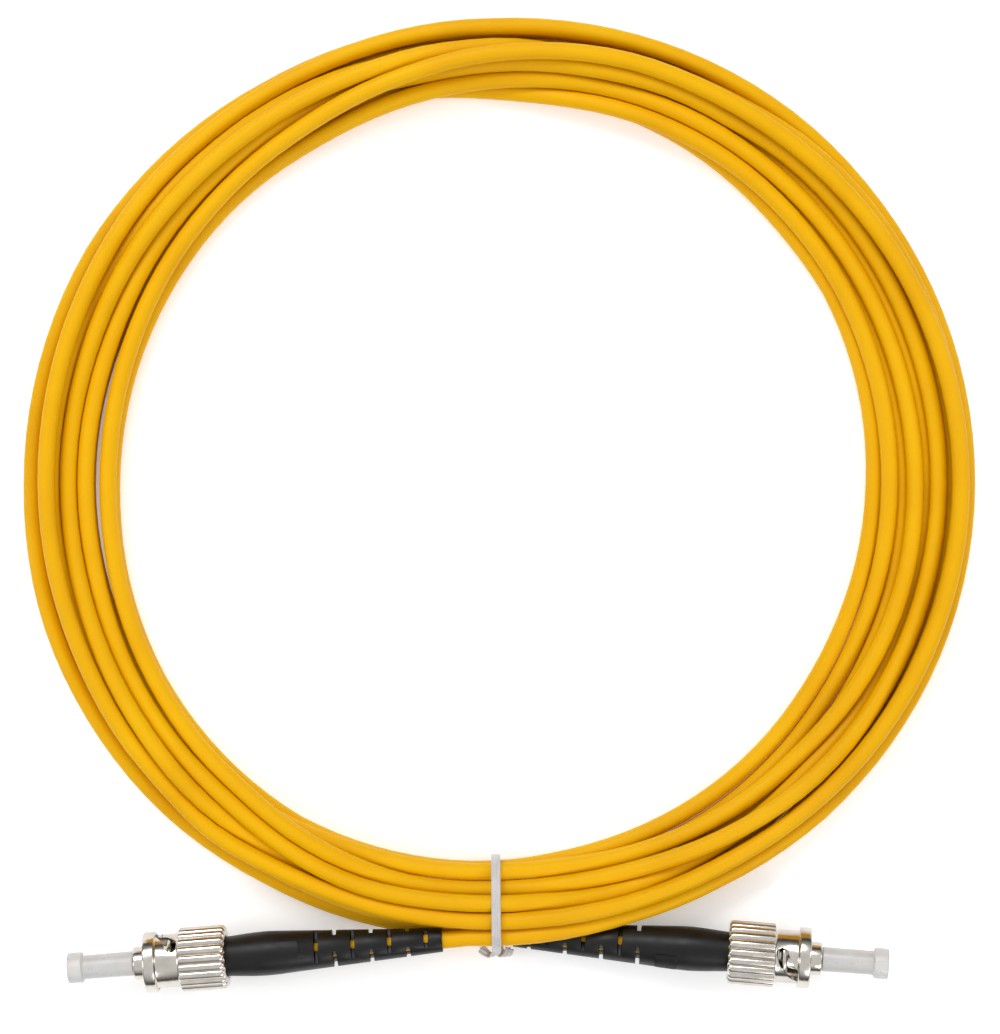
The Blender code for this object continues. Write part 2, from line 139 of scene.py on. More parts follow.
def end_matrix(key):
    """One connector's own frame in metres: X runs outwards from the boot's mouth, Z is up."""
    joint = JOINTS["nut_turn_" + key]
    x = Vector(joint["axis"]).normalized()
    y = Vector((0.0, 0.0, 1.0)).cross(x).normalized()
    z = x.cross(y)
    origin = Vector(joint["pos_m"]) - x * AXIS_STATION * MM
    matrix = Matrix((x, y, z)).transposed().to_4x4()
    matrix.translation = origin
    return matrix


ENDS = {key: end_matrix(key) for key in "ab"}


def coil_point(clock, radius, height):
    """A point given by its clock angle and radius about the coil's centre, in millimetres."""
    turn = math.radians(clock)
    x = COIL_CENTRE[0] + radius * math.cos(turn)
    y = COIL_CENTRE[1] + radius * math.sin(turn)
    return Vector((x, y, height))


def boot_radius(station):
    """The boot's outer radius, as a plain cone that the winding rests against."""
    return np.interp(station, (0.0, 30.3), (2.05, 3.82))


def boot_sections():
    """For each clock step: the boots' centre radius, height and own radius there, where there is a boot."""
    found = [[] for _ in range(STEPS_PER_TURN)]
    for matrix in ENDS.values():
        for station in np.arange(0.0, BOOT_LENGTH, 0.25):
            p = (matrix @ Vector((station * MM, 0.0, 0.0))) / MM
            away = Vector((p.x - COIL_CENTRE[0], p.y - COIL_CENTRE[1]))
            clock = math.degrees(math.atan2(away.y, away.x)) % 360.0
            slot = round(clock / CLOCK_STEP) % STEPS_PER_TURN
            if abs(clock - slot * CLOCK_STEP) < 0.2:
                found[slot].append((away.length, p.z, boot_radius(station)))
    return found


def starting_knots():
    """Clock angle, radius and height of the winding before it settles, from tail A to tail B."""
    knots = list(TAIL_A_ROUTE)
    for clock, lane, layer in JOINING_PLACES:
        knots.append((clock, COIL_RADIUS + lane * LANE, CORD_RADIUS + layer * LAYER))
    places = []
    for turn, (lanes, layers) in enumerate((*WINDING, LAST_TURN), start=1):
        places += [(360.0 * turn + clock, lane, layer) for clock, lane, layer in zip(PLACES, lanes, layers)]
    for here, there in zip(places, places[1:]):
        for step in range(STEPS_BETWEEN_PLACES):
            share = step / STEPS_BETWEEN_PLACES
            eased = (1 - math.cos(math.pi * share)) / 2
            clock = here[0] + (there[0] - here[0]) * share
            lane, layer = (p + (q - p) * eased for p, q in zip(here[1:], there[1:]))
            knots.append((clock, COIL_RADIUS + lane * LANE, CORD_RADIUS + layer * LAYER))
    knots += [(360.0 * TURNS + clock, radius, height) for clock, radius, height in TAIL_B_ROUTE]
    return knots


def push_turns_apart(r, z, live, can):
    """Moves every two turns that overlap away from each other, by a little under half the overlap each."""
    gap = 2 * CORD_RADIUS + CORD_GAP
    move_r = np.zeros(r.shape)
    move_z = np.zeros(r.shape)
    for i in range(len(r)):
        for j in range(i + 1, len(r)):
            both = live[i] & live[j]
            dr = r[i] - r[j]
            dz = z[i] - z[j]
            distance = np.maximum(np.hypot(dr, dz), SMALLEST_DISTANCE)
            push = np.where(both & (distance < gap), (gap - distance) / distance, 0.0)
            share_i = np.where(can[i] & can[j], 0.45, np.where(can[i], 0.9, 0.0))
            share_j = np.where(can[i] & can[j], 0.45, np.where(can[j], 0.9, 0.0))
            move_r[i] += push * dr * share_i
            move_z[i] += push * dz * share_i
            move_r[j] -= push * dr * share_j
            move_z[j] -= push * dz * share_j
    r += np.clip(move_r, -LARGEST_PUSH, LARGEST_PUSH)
    z += np.clip(move_z, -LARGEST_PUSH, LARGEST_PUSH)


def push_off_boots(r, z, can, boots):
    """Moves turns out of the boots that they rest against."""
    for slot, sections in enumerate(boots):
        for centre, up, radius in sections:
            dr = r[:, slot] - centre
            dz = z[:, slot] - up
            distance = np.maximum(np.hypot(dr, dz), SMALLEST_DISTANCE)
            need = radius + CORD_RADIUS + BOOT_GAP
            push = np.where(can[:, slot] & (distance < need), (need - distance) / distance, 0.0)
            r[:, slot] += 0.6 * push * dr
            z[:, slot] += 0.6 * push * dz


def wound_cord():
    """Settles the winding: turns fall, and push each other and the floor apart until they only touch."""
    knots = starting_knots()
    first = math.ceil(knots[0][0] / CLOCK_STEP)
    last = math.floor(knots[-1][0] / CLOCK_STEP)
    turns = last // STEPS_PER_TURN + 1
    clocks = np.arange(turns * STEPS_PER_TURN) * float(CLOCK_STEP)
    aim = np.interp(clocks, [k[0] for k in knots], [k[1] for k in knots])
    height = np.interp(clocks, [k[0] for k in knots], [k[2] for k in knots])
    free = np.zeros(len(clocks), bool)
    tail_a = math.floor(TAIL_A_ROUTE[-1][0] / CLOCK_STEP)
    tail_b = math.ceil((360.0 * TURNS + TAIL_B_ROUTE[0][0]) / CLOCK_STEP)
    free[tail_a + 1 : tail_b] = True
    there = np.zeros(len(clocks), bool)
    there[first : last + 1] = True
    for _ in range(FIRST_SMOOTHINGS):
        for values in (aim, height):
            mean = (np.roll(values, 1) + 2 * values + np.roll(values, -1)) / 4
            values[free] = mean[free]
    r = aim.copy()
    z = height.copy()
    shape = (turns, STEPS_PER_TURN)
    from_lift = np.abs(np.arange(STEPS_PER_TURN) * float(CLOCK_STEP) - LIFT_CLOCK)
    lift = LIFT_HEIGHT * np.clip(LIFT_FLAT - from_lift / LIFT_FADE, 0.0, 1.0)
    floor = np.tile(CORD_RADIUS + lift, turns)
    outline_clocks, inner, outer = zip(*OUTLINE)
    inner_wall = np.interp(clocks % 360.0, outline_clocks, inner, period=360.0) + CORD_RADIUS
    outer_wall = np.interp(clocks % 360.0, outline_clocks, outer, period=360.0) - CORD_RADIUS
    boots = boot_sections()
    for count in range(ROUNDS):
        keep_lane, fall, even = SETTLING if count < ROUNDS - RESTING_ROUNDS else RESTING
        r[free] += keep_lane * (aim - r)[free]
        z[free] -= fall
        for values in (r, z):
            mean = (np.roll(values, 1) + np.roll(values, -1)) / 2
            values[free] += even * (mean - values)[free]
        for _ in range(PUSHES_PER_ROUND):
            push_turns_apart(r.reshape(shape), z.reshape(shape), there.reshape(shape), free.reshape(shape))
            push_off_boots(r.reshape(shape), z.reshape(shape), free.reshape(shape), boots)
            low = free & (z < floor)
            z[low] = floor[low]
            r[free] = np.clip(r, inner_wall, outer_wall)[free]
    keep = slice(first, last + 1)
    return [coil_point(c, a, b) for c, a, b in zip(clocks[keep], r[keep], z[keep])]


def smooth_route(points, spacing):
    """Reads an even set of points off a Catmull-Rom curve through the given ones."""
    knots = [Vector(p) for p in points]
    knots = [2 * knots[0] - knots[1]] + knots + [2 * knots[-1] - knots[-2]]
    fine = []
    steps = 12
    for i in range(1, len(knots) - 2):
        before, here, there, after = knots[i - 1 : i + 3]
        for step in range(steps):
            t = step / steps
            fine.append(
                0.5
                * (
                    2 * here
                    + (there - before) * t
                    + (2 * before - 5 * here + 4 * there - after) * t * t
                    + (3 * here - before - 3 * there + after) * t ** 3
                )
            )
    fine.append(knots[-2])
    along = np.cumsum([0.0] + [(q - p).length for p, q in zip(fine, fine[1:])])
    count = max(2, round(along[-1] / spacing) + 1)
    wanted = np.linspace(0.0, along[-1], count)
    columns = [np.interp(wanted, along, [p[axis] for p in fine]) for axis in range(3)]
    return [Vector(p) for p in zip(*columns)]


# ---------------------------------------------------------------- materials


def nodes_of(name):
    """A new material's tree, its Principled shader and its object coordinates."""
    made = bpy.data.materials.new(name)
    made.use_nodes = True
    tree = made.node_tree
    shader = tree.nodes["Principled BSDF"]
    coordinates = tree.nodes.new("ShaderNodeTexCoord")
    return made, tree, shader, coordinates.outputs["Object"]


def noise(tree, vector, scale, detail=4.0, roughness=0.55, stretch=None):
    """A noise texture in object space, stretched along an axis if asked."""
    if stretch is not None:
        mapping = tree.nodes.new("ShaderNodeMapping")
        mapping.inputs["Scale"].default_value = stretch
        tree.links.new(vector, mapping.inputs["Vector"])
        vector = mapping.outputs["Vector"]
    made = tree.nodes.new("ShaderNodeTexNoise")
    made.inputs["Scale"].default_value = scale
    made.inputs["Detail"].default_value = detail
    made.inputs["Roughness"].default_value = roughness
    tree.links.new(vector, made.inputs["Vector"])
    return made.outputs["Fac"]


def ramp(tree, factor, stops):
    """A colour ramp through (place, colour) stops."""
    made = tree.nodes.new("ShaderNodeValToRGB")
    elements = made.color_ramp.elements
    elements[0].position, elements[0].color = stops[0][0], (*stops[0][1], 1.0)
    elements[1].position, elements[1].color = stops[-1][0], (*stops[-1][1], 1.0)
    for place, colour in stops[1:-1]:
        extra = elements.new(place)
        extra.color = (*colour, 1.0)
    tree.links.new(factor, made.inputs["Fac"])
    return made.outputs["Color"]


def spread(tree, factor, low, high, at=(0.3, 0.7)):
    """Maps a factor to a range of values."""
    made = tree.nodes.new("ShaderNodeMapRange")
    made.inputs["From Min"].default_value, made.inputs["From Max"].default_value = at
    made.inputs["To Min"].default_value, made.inputs["To Max"].default_value = low, high
    tree.links.new(factor, made.inputs["Value"])
    return made.outputs["Result"]


def bump(tree, shader, heights):
    """Stacks bumps given as (height output, distance in metres, strength)."""
    normal = None
    for height, distance, strength in heights:
        made = tree.nodes.new("ShaderNodeBump")
        made.inputs["Strength"].default_value = strength
        made.inputs["Distance"].default_value = distance
        tree.links.new(height, made.inputs["Height"])
        if normal is not None:
            tree.links.new(normal, made.inputs["Normal"])
        normal = made.outputs["Normal"]
    tree.links.new(normal, shader.inputs["Normal"])


def jacket_material():
    """Golden yellow jacket: soft satin, faintly mottled, with the fine grain of an extruded jacket."""
    made, tree, shader, where = nodes_of("jacket_look")
    blotch = noise(tree, where, 45.0, 3.0)
    fine = noise(tree, where, 1400.0, 5.0)
    stops = ((0.3, (0.69, 0.345, 0.0)), (0.5, (0.73, 0.38, 0.0)), (0.72, (0.76, 0.415, 0.0)))
    colour = ramp(tree, blotch, stops)
    tree.links.new(colour, shader.inputs["Base Color"])
    tree.links.new(spread(tree, fine, 0.36, 0.52), shader.inputs["Roughness"])
    shader.inputs["Subsurface Weight"].default_value = 0.1
    shader.inputs["Subsurface Radius"].default_value = (1.0, 0.45, 0.05)
    shader.inputs["Subsurface Scale"].default_value = 0.0009
    shader.inputs["Specular IOR Level"].default_value = 0.12
    slow = noise(tree, where, 160.0, 2.0)
    bump(tree, shader, ((slow, 0.00006, 0.35), (fine, 0.000012, 0.45)))
    return made


def rubber_material():
    """Matte black elastomer with moulding grain and slightly greyer worn patches."""
    made, tree, shader, where = nodes_of("boot_look")
    dust = noise(tree, where, 260.0, 6.0, 0.65)
    fine = noise(tree, where, 3200.0, 4.0)
    stops = ((0.35, (0.0028, 0.0026, 0.0024)), (0.6, (0.0046, 0.0043, 0.004)), (0.8, (0.0095, 0.009, 0.0084)))
    colour = ramp(tree, dust, stops)
    tree.links.new(colour, shader.inputs["Base Color"])
    tree.links.new(spread(tree, dust, 0.34, 0.52), shader.inputs["Roughness"])
    shader.inputs["Specular IOR Level"].default_value = 0.3
    bump(tree, shader, ((dust, 0.00004, 0.25), (fine, 0.00001, 0.5)))
    return made


def metal_material(name, dark, light, rough, streak):
    """Turned and plated metal: fine marks round the axis, cloudy plating and small scuffs."""
    made, tree, shader, where = nodes_of(name)
    lathe = noise(tree, where, 900.0, 3.0, 0.6, (6.0, 0.25, 0.25))
    cloud = noise(tree, where, 420.0, 4.0)
    scuff = noise(tree, where, 2600.0, 6.0, 0.7)
    middle = tuple((a + b) / 2 for a, b in zip(dark, light))
    tree.links.new(ramp(tree, cloud, ((0.3, dark), (0.5, middle), (0.7, light))), shader.inputs["Base Color"])
    tree.links.new(spread(tree, scuff, rough * 0.75, rough * 1.35), shader.inputs["Roughness"])
    shader.inputs["Metallic"].default_value = 1.0
    bump(tree, shader, ((lathe, 0.00001, streak), (scuff, 0.000006, 0.25)))
    return made


def ceramic_material():
    """Polished zirconia: dense white with a glassy coat and very faint grinding marks."""
    made, tree, shader, where = nodes_of("ferrule_look")
    cloud = noise(tree, where, 500.0, 4.0)
    grind = noise(tree, where, 2200.0, 3.0, 0.5, (5.0, 0.3, 0.3))
    colour = ramp(tree, cloud, ((0.3, (0.80, 0.80, 0.77)), (0.7, (0.88, 0.88, 0.86))))
    tree.links.new(colour, shader.inputs["Base Color"])
    tree.links.new(spread(tree, grind, 0.12, 0.24), shader.inputs["Roughness"])
    shader.inputs["Coat Weight"].default_value = 0.35
    shader.inputs["Subsurface Weight"].default_value = 0.1
    shader.inputs["Subsurface Scale"].default_value = 0.0006
    bump(tree, shader, ((grind, 0.000006, 0.3),))
    return made


def clear_plastic_material(name, dark, light, rough, passes):
    """Milky moulded polyethylene: partly clear, cloudy inside, with soft flow marks."""
    made, tree, shader, where = nodes_of(name)
    cloud = noise(tree, where, 380.0, 4.0)
    flow = noise(tree, where, 700.0, 3.0, 0.5, (0.5, 2.0, 2.0))
    tree.links.new(ramp(tree, cloud, ((0.3, dark), (0.7, light))), shader.inputs["Base Color"])
    tree.links.new(spread(tree, flow, rough * 0.8, rough * 1.3), shader.inputs["Roughness"])
    shader.inputs["Transmission Weight"].default_value = passes
    shader.inputs["IOR"].default_value = 1.5
    shader.inputs["Subsurface Weight"].default_value = 0.15
    shader.inputs["Subsurface Scale"].default_value = 0.001
    bump(tree, shader, ((flow, 0.00003, 0.3), (cloud, 0.00003, 0.2)))
    return made


def yarn_material():
    """Golden aramid yarn: fibres along the cord with a silky sheen."""
    made, tree, shader, where = nodes_of("yarn_look")
    fibre = noise(tree, where, 2500.0, 4.0, 0.6, (0.15, 2.0, 2.0))
    colour = ramp(tree, fibre, ((0.3, (0.50, 0.33, 0.05)), (0.7, (0.85, 0.66, 0.20))))
    tree.links.new(colour, shader.inputs["Base Color"])
    tree.links.new(spread(tree, fibre, 0.5, 0.8), shader.inputs["Roughness"])
    shader.inputs["Sheen Weight"].default_value = 0.3
    bump(tree, shader, ((fibre, 0.00006, 0.6),))
    return made


def floor_material():
    """Plain white paper."""
    made, tree, shader, where = nodes_of("floor_look")
    grain = noise(tree, where, 600.0, 5.0)
    colour = ramp(tree, grain, ((0.3, (0.90, 0.90, 0.90)), (0.7, (0.92, 0.92, 0.92))))
    tree.links.new(colour, shader.inputs["Base Color"])
    shader.inputs["Roughness"].default_value = 0.9
    shader.inputs["Specular IOR Level"].default_value = 0.1
    shader.inputs["Emission Color"].default_value = (1.0, 1.0, 1.0, 1.0)
    shader.inputs["Emission Strength"].default_value = 0.22
    bump(tree, shader, ((grain, 0.00003, 0.1),))
    return made


LOOKS = {
    "jacket_yellow": jacket_material(),
    "boot_rubber": rubber_material(),
    "nickel_plate": metal_material("nickel_look", (0.54, 0.505, 0.46), (0.68, 0.64, 0.58), 0.17, 0.35),
    "spring_steel": metal_material("steel_look", (0.50, 0.49, 0.47), (0.66, 0.64, 0.61), 0.26, 0.3),
    "crimp_brass": metal_material("brass_look", (0.58, 0.44, 0.20), (0.76, 0.60, 0.30), 0.3, 0.4),
    "zirconia": ceramic_material(),
    "cap_plastic": clear_plastic_material("cap_look", (0.66, 0.65, 0.635), (0.74, 0.73, 0.715), 0.32, 0.3),
    "tie_plastic": clear_plastic_material("tie_look", (0.60, 0.595, 0.60), (0.70, 0.69, 0.69), 0.35, 0.25),
    "buffer_plastic": clear_plastic_material("fibre_look", (0.84, 0.83, 0.80), (0.90, 0.89, 0.86), 0.35, 0.1),
    "aramid": yarn_material(),
}


# ---------------------------------------------------------------- shapes

SHARP_ANGLE = math.radians(38.0)
EDGE_ANGLE = math.radians(40.0)


def finish_piece(thing, slot, body, replaced):
    """Gives a piece its look, its body and the CAD nodes it stands for."""
    if not thing.users_collection:
        bpy.context.scene.collection.objects.link(thing)
    thing.data.materials.clear()
    thing.data.materials.append(LOOKS[slot])
    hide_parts(*replaced)
    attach(thing, body)


def mesh_piece(name, bm, matrix):
    """Turns a bmesh in metres into a smooth-shaded object placed by a matrix."""
    bmesh.ops.recalc_face_normals(bm, faces=bm.faces)
    mesh = bpy.data.meshes.new(name)
    bm.to_mesh(mesh)
    bm.free()
    mesh.shade_smooth()
    mesh.set_sharp_from_angle(angle=SHARP_ANGLE)
    mesh.transform(matrix)
    thing = bpy.data.objects.new(name, mesh)
    bpy.context.scene.collection.objects.link(thing)
    return thing


def filleted(profile, radius, segments=3, exact=()):
    """Rounds every corner of a closed (station, radius) profile."""
    points = [Vector(p) for p in profile]
    result = []
    for i, corner in enumerate(points):
        before = points[i - 1]
        after = points[(i + 1) % len(points)]
        reach = min(radius, 0.42 * (before - corner).length, 0.42 * (after - corner).length)
        if i in exact or corner.y == 0.0:
            result.append(corner)
            continue
        start = corner + (before - corner).normalized() * reach
        end = corner + (after - corner).normalized() * reach
        for k in range(segments + 1):
            t = k / segments
            result.append((1 - t) ** 2 * start + 2 * t * (1 - t) * corner + t * t * end)
    return [(p.x, p.y) for p in result]


def ring_of(bm, station, radius, steps, wave=None):
    """One ring of vertices about X, its radius changed by a function of the angle."""
    ring = []
    for i in range(steps):
        turn = math.tau * i / steps
        r = radius if wave is None else radius + wave(turn, station, radius)
        ring.append(bm.verts.new((station * MM, -r * math.sin(turn) * MM, r * math.cos(turn) * MM)))
    return ring


def lathe(name, profile, steps, matrix, wave=None):
    """A closed solid turned about X from a (station, radius) profile."""
    bm = bmesh.new()
    rings = []
    for station, radius in profile:
        if radius == 0.0:
            rings.append([bm.verts.new((station * MM, 0.0, 0.0))])
        else:
            rings.append(ring_of(bm, station, radius, steps, wave))
    for here, there in zip(rings, rings[1:] + rings[:1]):
        for k in range(steps):
            m = (k + 1) % steps
            corners = [here[k % len(here)], here[m % len(here)], there[m % len(there)], there[k % len(there)]]
            distinct = []
            for corner in corners:
                if corner not in distinct:
                    distinct.append(corner)
            if len(distinct) > 2:
                bm.faces.new(distinct)
    return mesh_piece(name, bm, matrix)


def combine(target, tool_bm, operation, matrix):
    """Cuts or joins a shape, then keeps only the result."""
    bmesh.ops.recalc_face_normals(tool_bm, faces=tool_bm.faces)
    mesh = bpy.data.meshes.new("tool")
    tool_bm.to_mesh(mesh)
    tool_bm.free()
    mesh.transform(matrix)
    tool = bpy.data.objects.new("tool", mesh)
    bpy.context.scene.collection.objects.link(tool)
    modifier = target.modifiers.new("cut", "BOOLEAN")
    modifier.operation = operation
    modifier.solver = "EXACT"
    modifier.object = tool
    bake(target)
    bpy.data.objects.remove(tool)


def bake(target):
    """Applies every modifier of an object."""
    bpy.context.view_layer.update()
    evaluated = target.evaluated_get(bpy.context.evaluated_depsgraph_get())
    mesh = bpy.data.meshes.new_from_object(evaluated)
    target.modifiers.clear()
    target.data = mesh
    mesh.shade_smooth()
    mesh.set_sharp_from_angle(angle=SHARP_ANGLE)


def soften(target, width):
    """Rounds the sharp edges of a solid."""
    modifier = target.modifiers.new("edges", "BEVEL")
    modifier.width = width * MM
    modifier.segments = 2
    modifier.limit_method = "ANGLE"
    modifier.angle_limit = EDGE_ANGLE
    modifier.harden_normals = False
    bake(target)


def rounded_box(bm, low, high, turn, edge):
    """Adds a box between two corners with rounded edges, turned by a matrix."""
    made = bmesh.ops.create_cube(bm, size=1.0)["verts"]
    size = [(h - l) * MM for l, h in zip(low, high)]
    middle = [(h + l) / 2 * MM for l, h in zip(low, high)]
    bmesh.ops.scale(bm, vec=size, verts=made)
    edges = list({e for v in made for e in v.link_edges})
    bevelled = bmesh.ops.bevel(bm, geom=edges, offset=edge * MM, segments=3, profile=0.5, affect="EDGES")
    everything = list({v for f in bevelled["faces"] for v in f.verts} | {v for v in made if v.is_valid})
    bmesh.ops.translate(bm, vec=middle, verts=everything)
    bmesh.ops.transform(bm, matrix=turn, verts=everything)


def close_over(bm, rings):
    """Joins one ring of vertices to the next, and closes both ends."""
    count = len(rings[0])
    for here, there in zip(rings, rings[1:]):
        for k in range(count):
            m = (k + 1) % count
            bm.faces.new((here[k], here[m], there[m], there[k]))
    bm.faces.new(rings[0])
    bm.faces.new(rings[-1])


def tube_curve(name, points, radius, resolution):
    """A round curve in metres through points in millimetres, closed at its ends."""
    curve = bpy.data.curves.new(name, "CURVE")
    curve.dimensions = "3D"
    curve.bevel_depth = radius * MM
    curve.bevel_resolution = resolution
    curve.use_fill_caps = True
    spline = curve.splines.new("POLY")
    spline.points.add(len(points) - 1)
    for knot, point in zip(spline.points, points):
        knot.co = (*(point * MM), 1.0)
    spline.use_smooth = True
    return bpy.data.objects.new(name, curve)


def sweep(name, centres, normals, sides, section, matrix=Matrix.Identity(4)):
    """Sweeps a closed section of (side, normal) offsets in millimetres along centres in millimetres."""
    bm = bmesh.new()
    rings = []
    for centre, normal, side in zip(centres, normals, sides):
        rings.append([bm.verts.new((centre + side * a + normal * b) * MM) for a, b in section])
    close_over(bm, rings)
    return mesh_piece(name, bm, matrix)


# ---------------------------------------------------------------- the cord


def make_cord():
    """The whole cord as one curve, from inside boot A, round the coil and into boot B."""
    start = [(ENDS["a"] @ Vector((s * MM, 0.0, 0.0))) / MM for s in TAIL_STATIONS]
    end = [(ENDS["b"] @ Vector((s * MM, 0.0, 0.0))) / MM for s in reversed(TAIL_STATIONS)]
    points = smooth_route(start + [coil_point(*TAIL_A_ROUTE[0])], 2.5)[:-1]
    points += wound_cord()
    points += smooth_route([coil_point(*TAIL_B_ROUTE[-1])] + end, 2.5)[1:]
    cord = tube_curve("patch_cord", points, CORD_RADIUS, 6)
    finish_piece(cord, "jacket_yellow", "cord_assembly", ("cord_coil", "cord_tail_a", "cord_tail_b"))


make_cord()


# ---------------------------------------------------------------- connectors

# Stations along a connector from the boot's mouth outwards, and radii, in millimetres
NUT_REAR, NUT_GRIP_FRONT, NUT_WINDOW_FRONT, NUT_FRONT = 37.3, 45.35, 49.45, 51.5
NUT_RECESS_RADIUS, NUT_SHOULDER_RADIUS, NUT_BORE_RADIUS = 3.7, 3.1, 4.05
NUT_GRIP_RADIUS, NUT_WINDOW_RADIUS, NUT_RING_RADIUS = 5.475, 4.55, 5.2
NUT_SHOULDER = (40.8, 42.3)
RIBS = 20
STEPS_PER_RIB = 12
GROOVE_DEPTH = 0.42
GROOVE_BOTTOM_RADIUS = 4.75
NUT_ROLLS = {"a": 37.0, "b": -15.0}
BOOT_ROLLS = {"a": 28.0, "b": 62.0}
PAD_ROLLS = {"a": 15.0, "b": 38.0}
# A bayonet slot's middle line from the front ring inwards: station, and degrees round the nut
SLOT_PATH = (
    (52.0, 62.0),
    (50.2, 60.0),
    (49.2, 55.0),
    (48.4, 44.0),
    (47.6, 30.0),
    (47.0, 16.0),
    (46.6, 2.0),
)
NOSE_STEPS = 7
SPRING_TURNS, SPRING_RADIUS, SPRING_WIRE = 3.5, 3.45, 0.22
SPRING_STEPS, WIRE_STEPS = 48, 14
# Where the boot swells and rounds off: station and outer radius
BOOT_SHOULDER = ((21.0, 3.28), (28.8, 3.76), (30.6, 3.82))
SLOT_ROWS, FIRST_SLOT, SLOT_PITCH, SLOT_HALF_WIDTH = 7, 2.8, 3.16, 0.375
PAD_START, PAD_END, PAD_HALF_WIDTH, PAD_RISE, PAD_CORNER = 24.7, 28.7, 1.5, 0.26, 0.5
ROUND = 96


def rib_wave(turn, station, radius):
    """Rounded ribs with narrow grooves along the nut's grip."""
    if station > NUT_GRIP_FRONT + 0.01 or radius < GROOVE_BOTTOM_RADIUS:
        return 0.0
    share = min(1.0, (radius - GROOVE_BOTTOM_RADIUS) / 0.45)
    across = abs(((turn * RIBS / math.tau) % 1.0) * 2.0 - 1.0)
    return -GROOVE_DEPTH * share * across ** 2.4


def slot_tool(roll):
    """The cutter for one bayonet slot: entry under the front ring, helical ramp and round detent."""
    half_width = 1.05
    inner, outer = NUT_BORE_RADIUS - 0.4, NUT_RING_RADIUS - 0.42
    per_degree = math.radians(NUT_WINDOW_RADIUS)
    route = smooth_route([Vector((station, angle * per_degree, 0.0)) for station, angle in SLOT_PATH], 0.35)
    heading = (route[-1] - route[-2]).normalized()
    widths = [half_width] * len(route)
    for k in range(1, NOSE_STEPS + 1):
        ahead = half_width * math.sin(math.pi / 2 * k / NOSE_STEPS) * 0.999
        route.append(route[len(widths) - k] + heading * ahead)
        widths.append(math.sqrt(half_width ** 2 - ahead ** 2))
    bm = bmesh.new()
    rings = []
    for i, (stop, width) in enumerate(zip(route, widths)):
        run = heading
        if i + 1 < len(route) - NOSE_STEPS:
            run = (route[i + 1] - route[max(i - 1, 0)]).normalized()
        side = Vector((-run.y, run.x, 0.0)) * width
        ring = []
        for radius, sign in ((inner, -1), (inner, 1), (outer, 1), (outer, -1)):
            edge = stop + side * sign
            turn = math.radians(roll) + edge.y / NUT_WINDOW_RADIUS
            place = (edge.x * MM, -radius * math.sin(turn) * MM, radius * math.cos(turn) * MM)
            ring.append(bm.verts.new(place))
        rings.append(ring)
    close_over(bm, rings)
    return bm


def make_nut(key, matrix):
    """The bayonet coupling nut: ribbed grip, plain barrel with two slots, and the front ring."""
    profile = (
        (NUT_REAR, NUT_RECESS_RADIUS),
        (NUT_REAR, NUT_GRIP_RADIUS - 0.62),
        (NUT_REAR + 0.28, NUT_GRIP_RADIUS - 0.12),
        (NUT_REAR + 0.75, NUT_GRIP_RADIUS),
        (NUT_GRIP_FRONT - 0.12, NUT_GRIP_RADIUS),
        (NUT_GRIP_FRONT, NUT_GRIP_RADIUS - 0.18),
        (NUT_GRIP_FRONT, NUT_WINDOW_RADIUS),
        (NUT_WINDOW_FRONT, NUT_WINDOW_RADIUS),
        (NUT_WINDOW_FRONT, NUT_RING_RADIUS),
        (NUT_FRONT, NUT_RING_RADIUS),
        (NUT_FRONT, NUT_BORE_RADIUS),
        (NUT_SHOULDER[1], NUT_BORE_RADIUS),
        (NUT_SHOULDER[1], NUT_SHOULDER_RADIUS),
        (NUT_SHOULDER[0], NUT_SHOULDER_RADIUS),
        (NUT_SHOULDER[0], NUT_RECESS_RADIUS),
    )
    nut = lathe("bayonet_nut_" + key, filleted(profile, 0.3, 3), RIBS * STEPS_PER_RIB, matrix, rib_wave)
    for offset in (0.0, 180.0):
        combine(nut, slot_tool(NUT_ROLLS[key] + offset), "DIFFERENCE", matrix)
    finish_piece(nut, "nickel_plate", "nut_" + key, ("coupling_nut_" + key,))


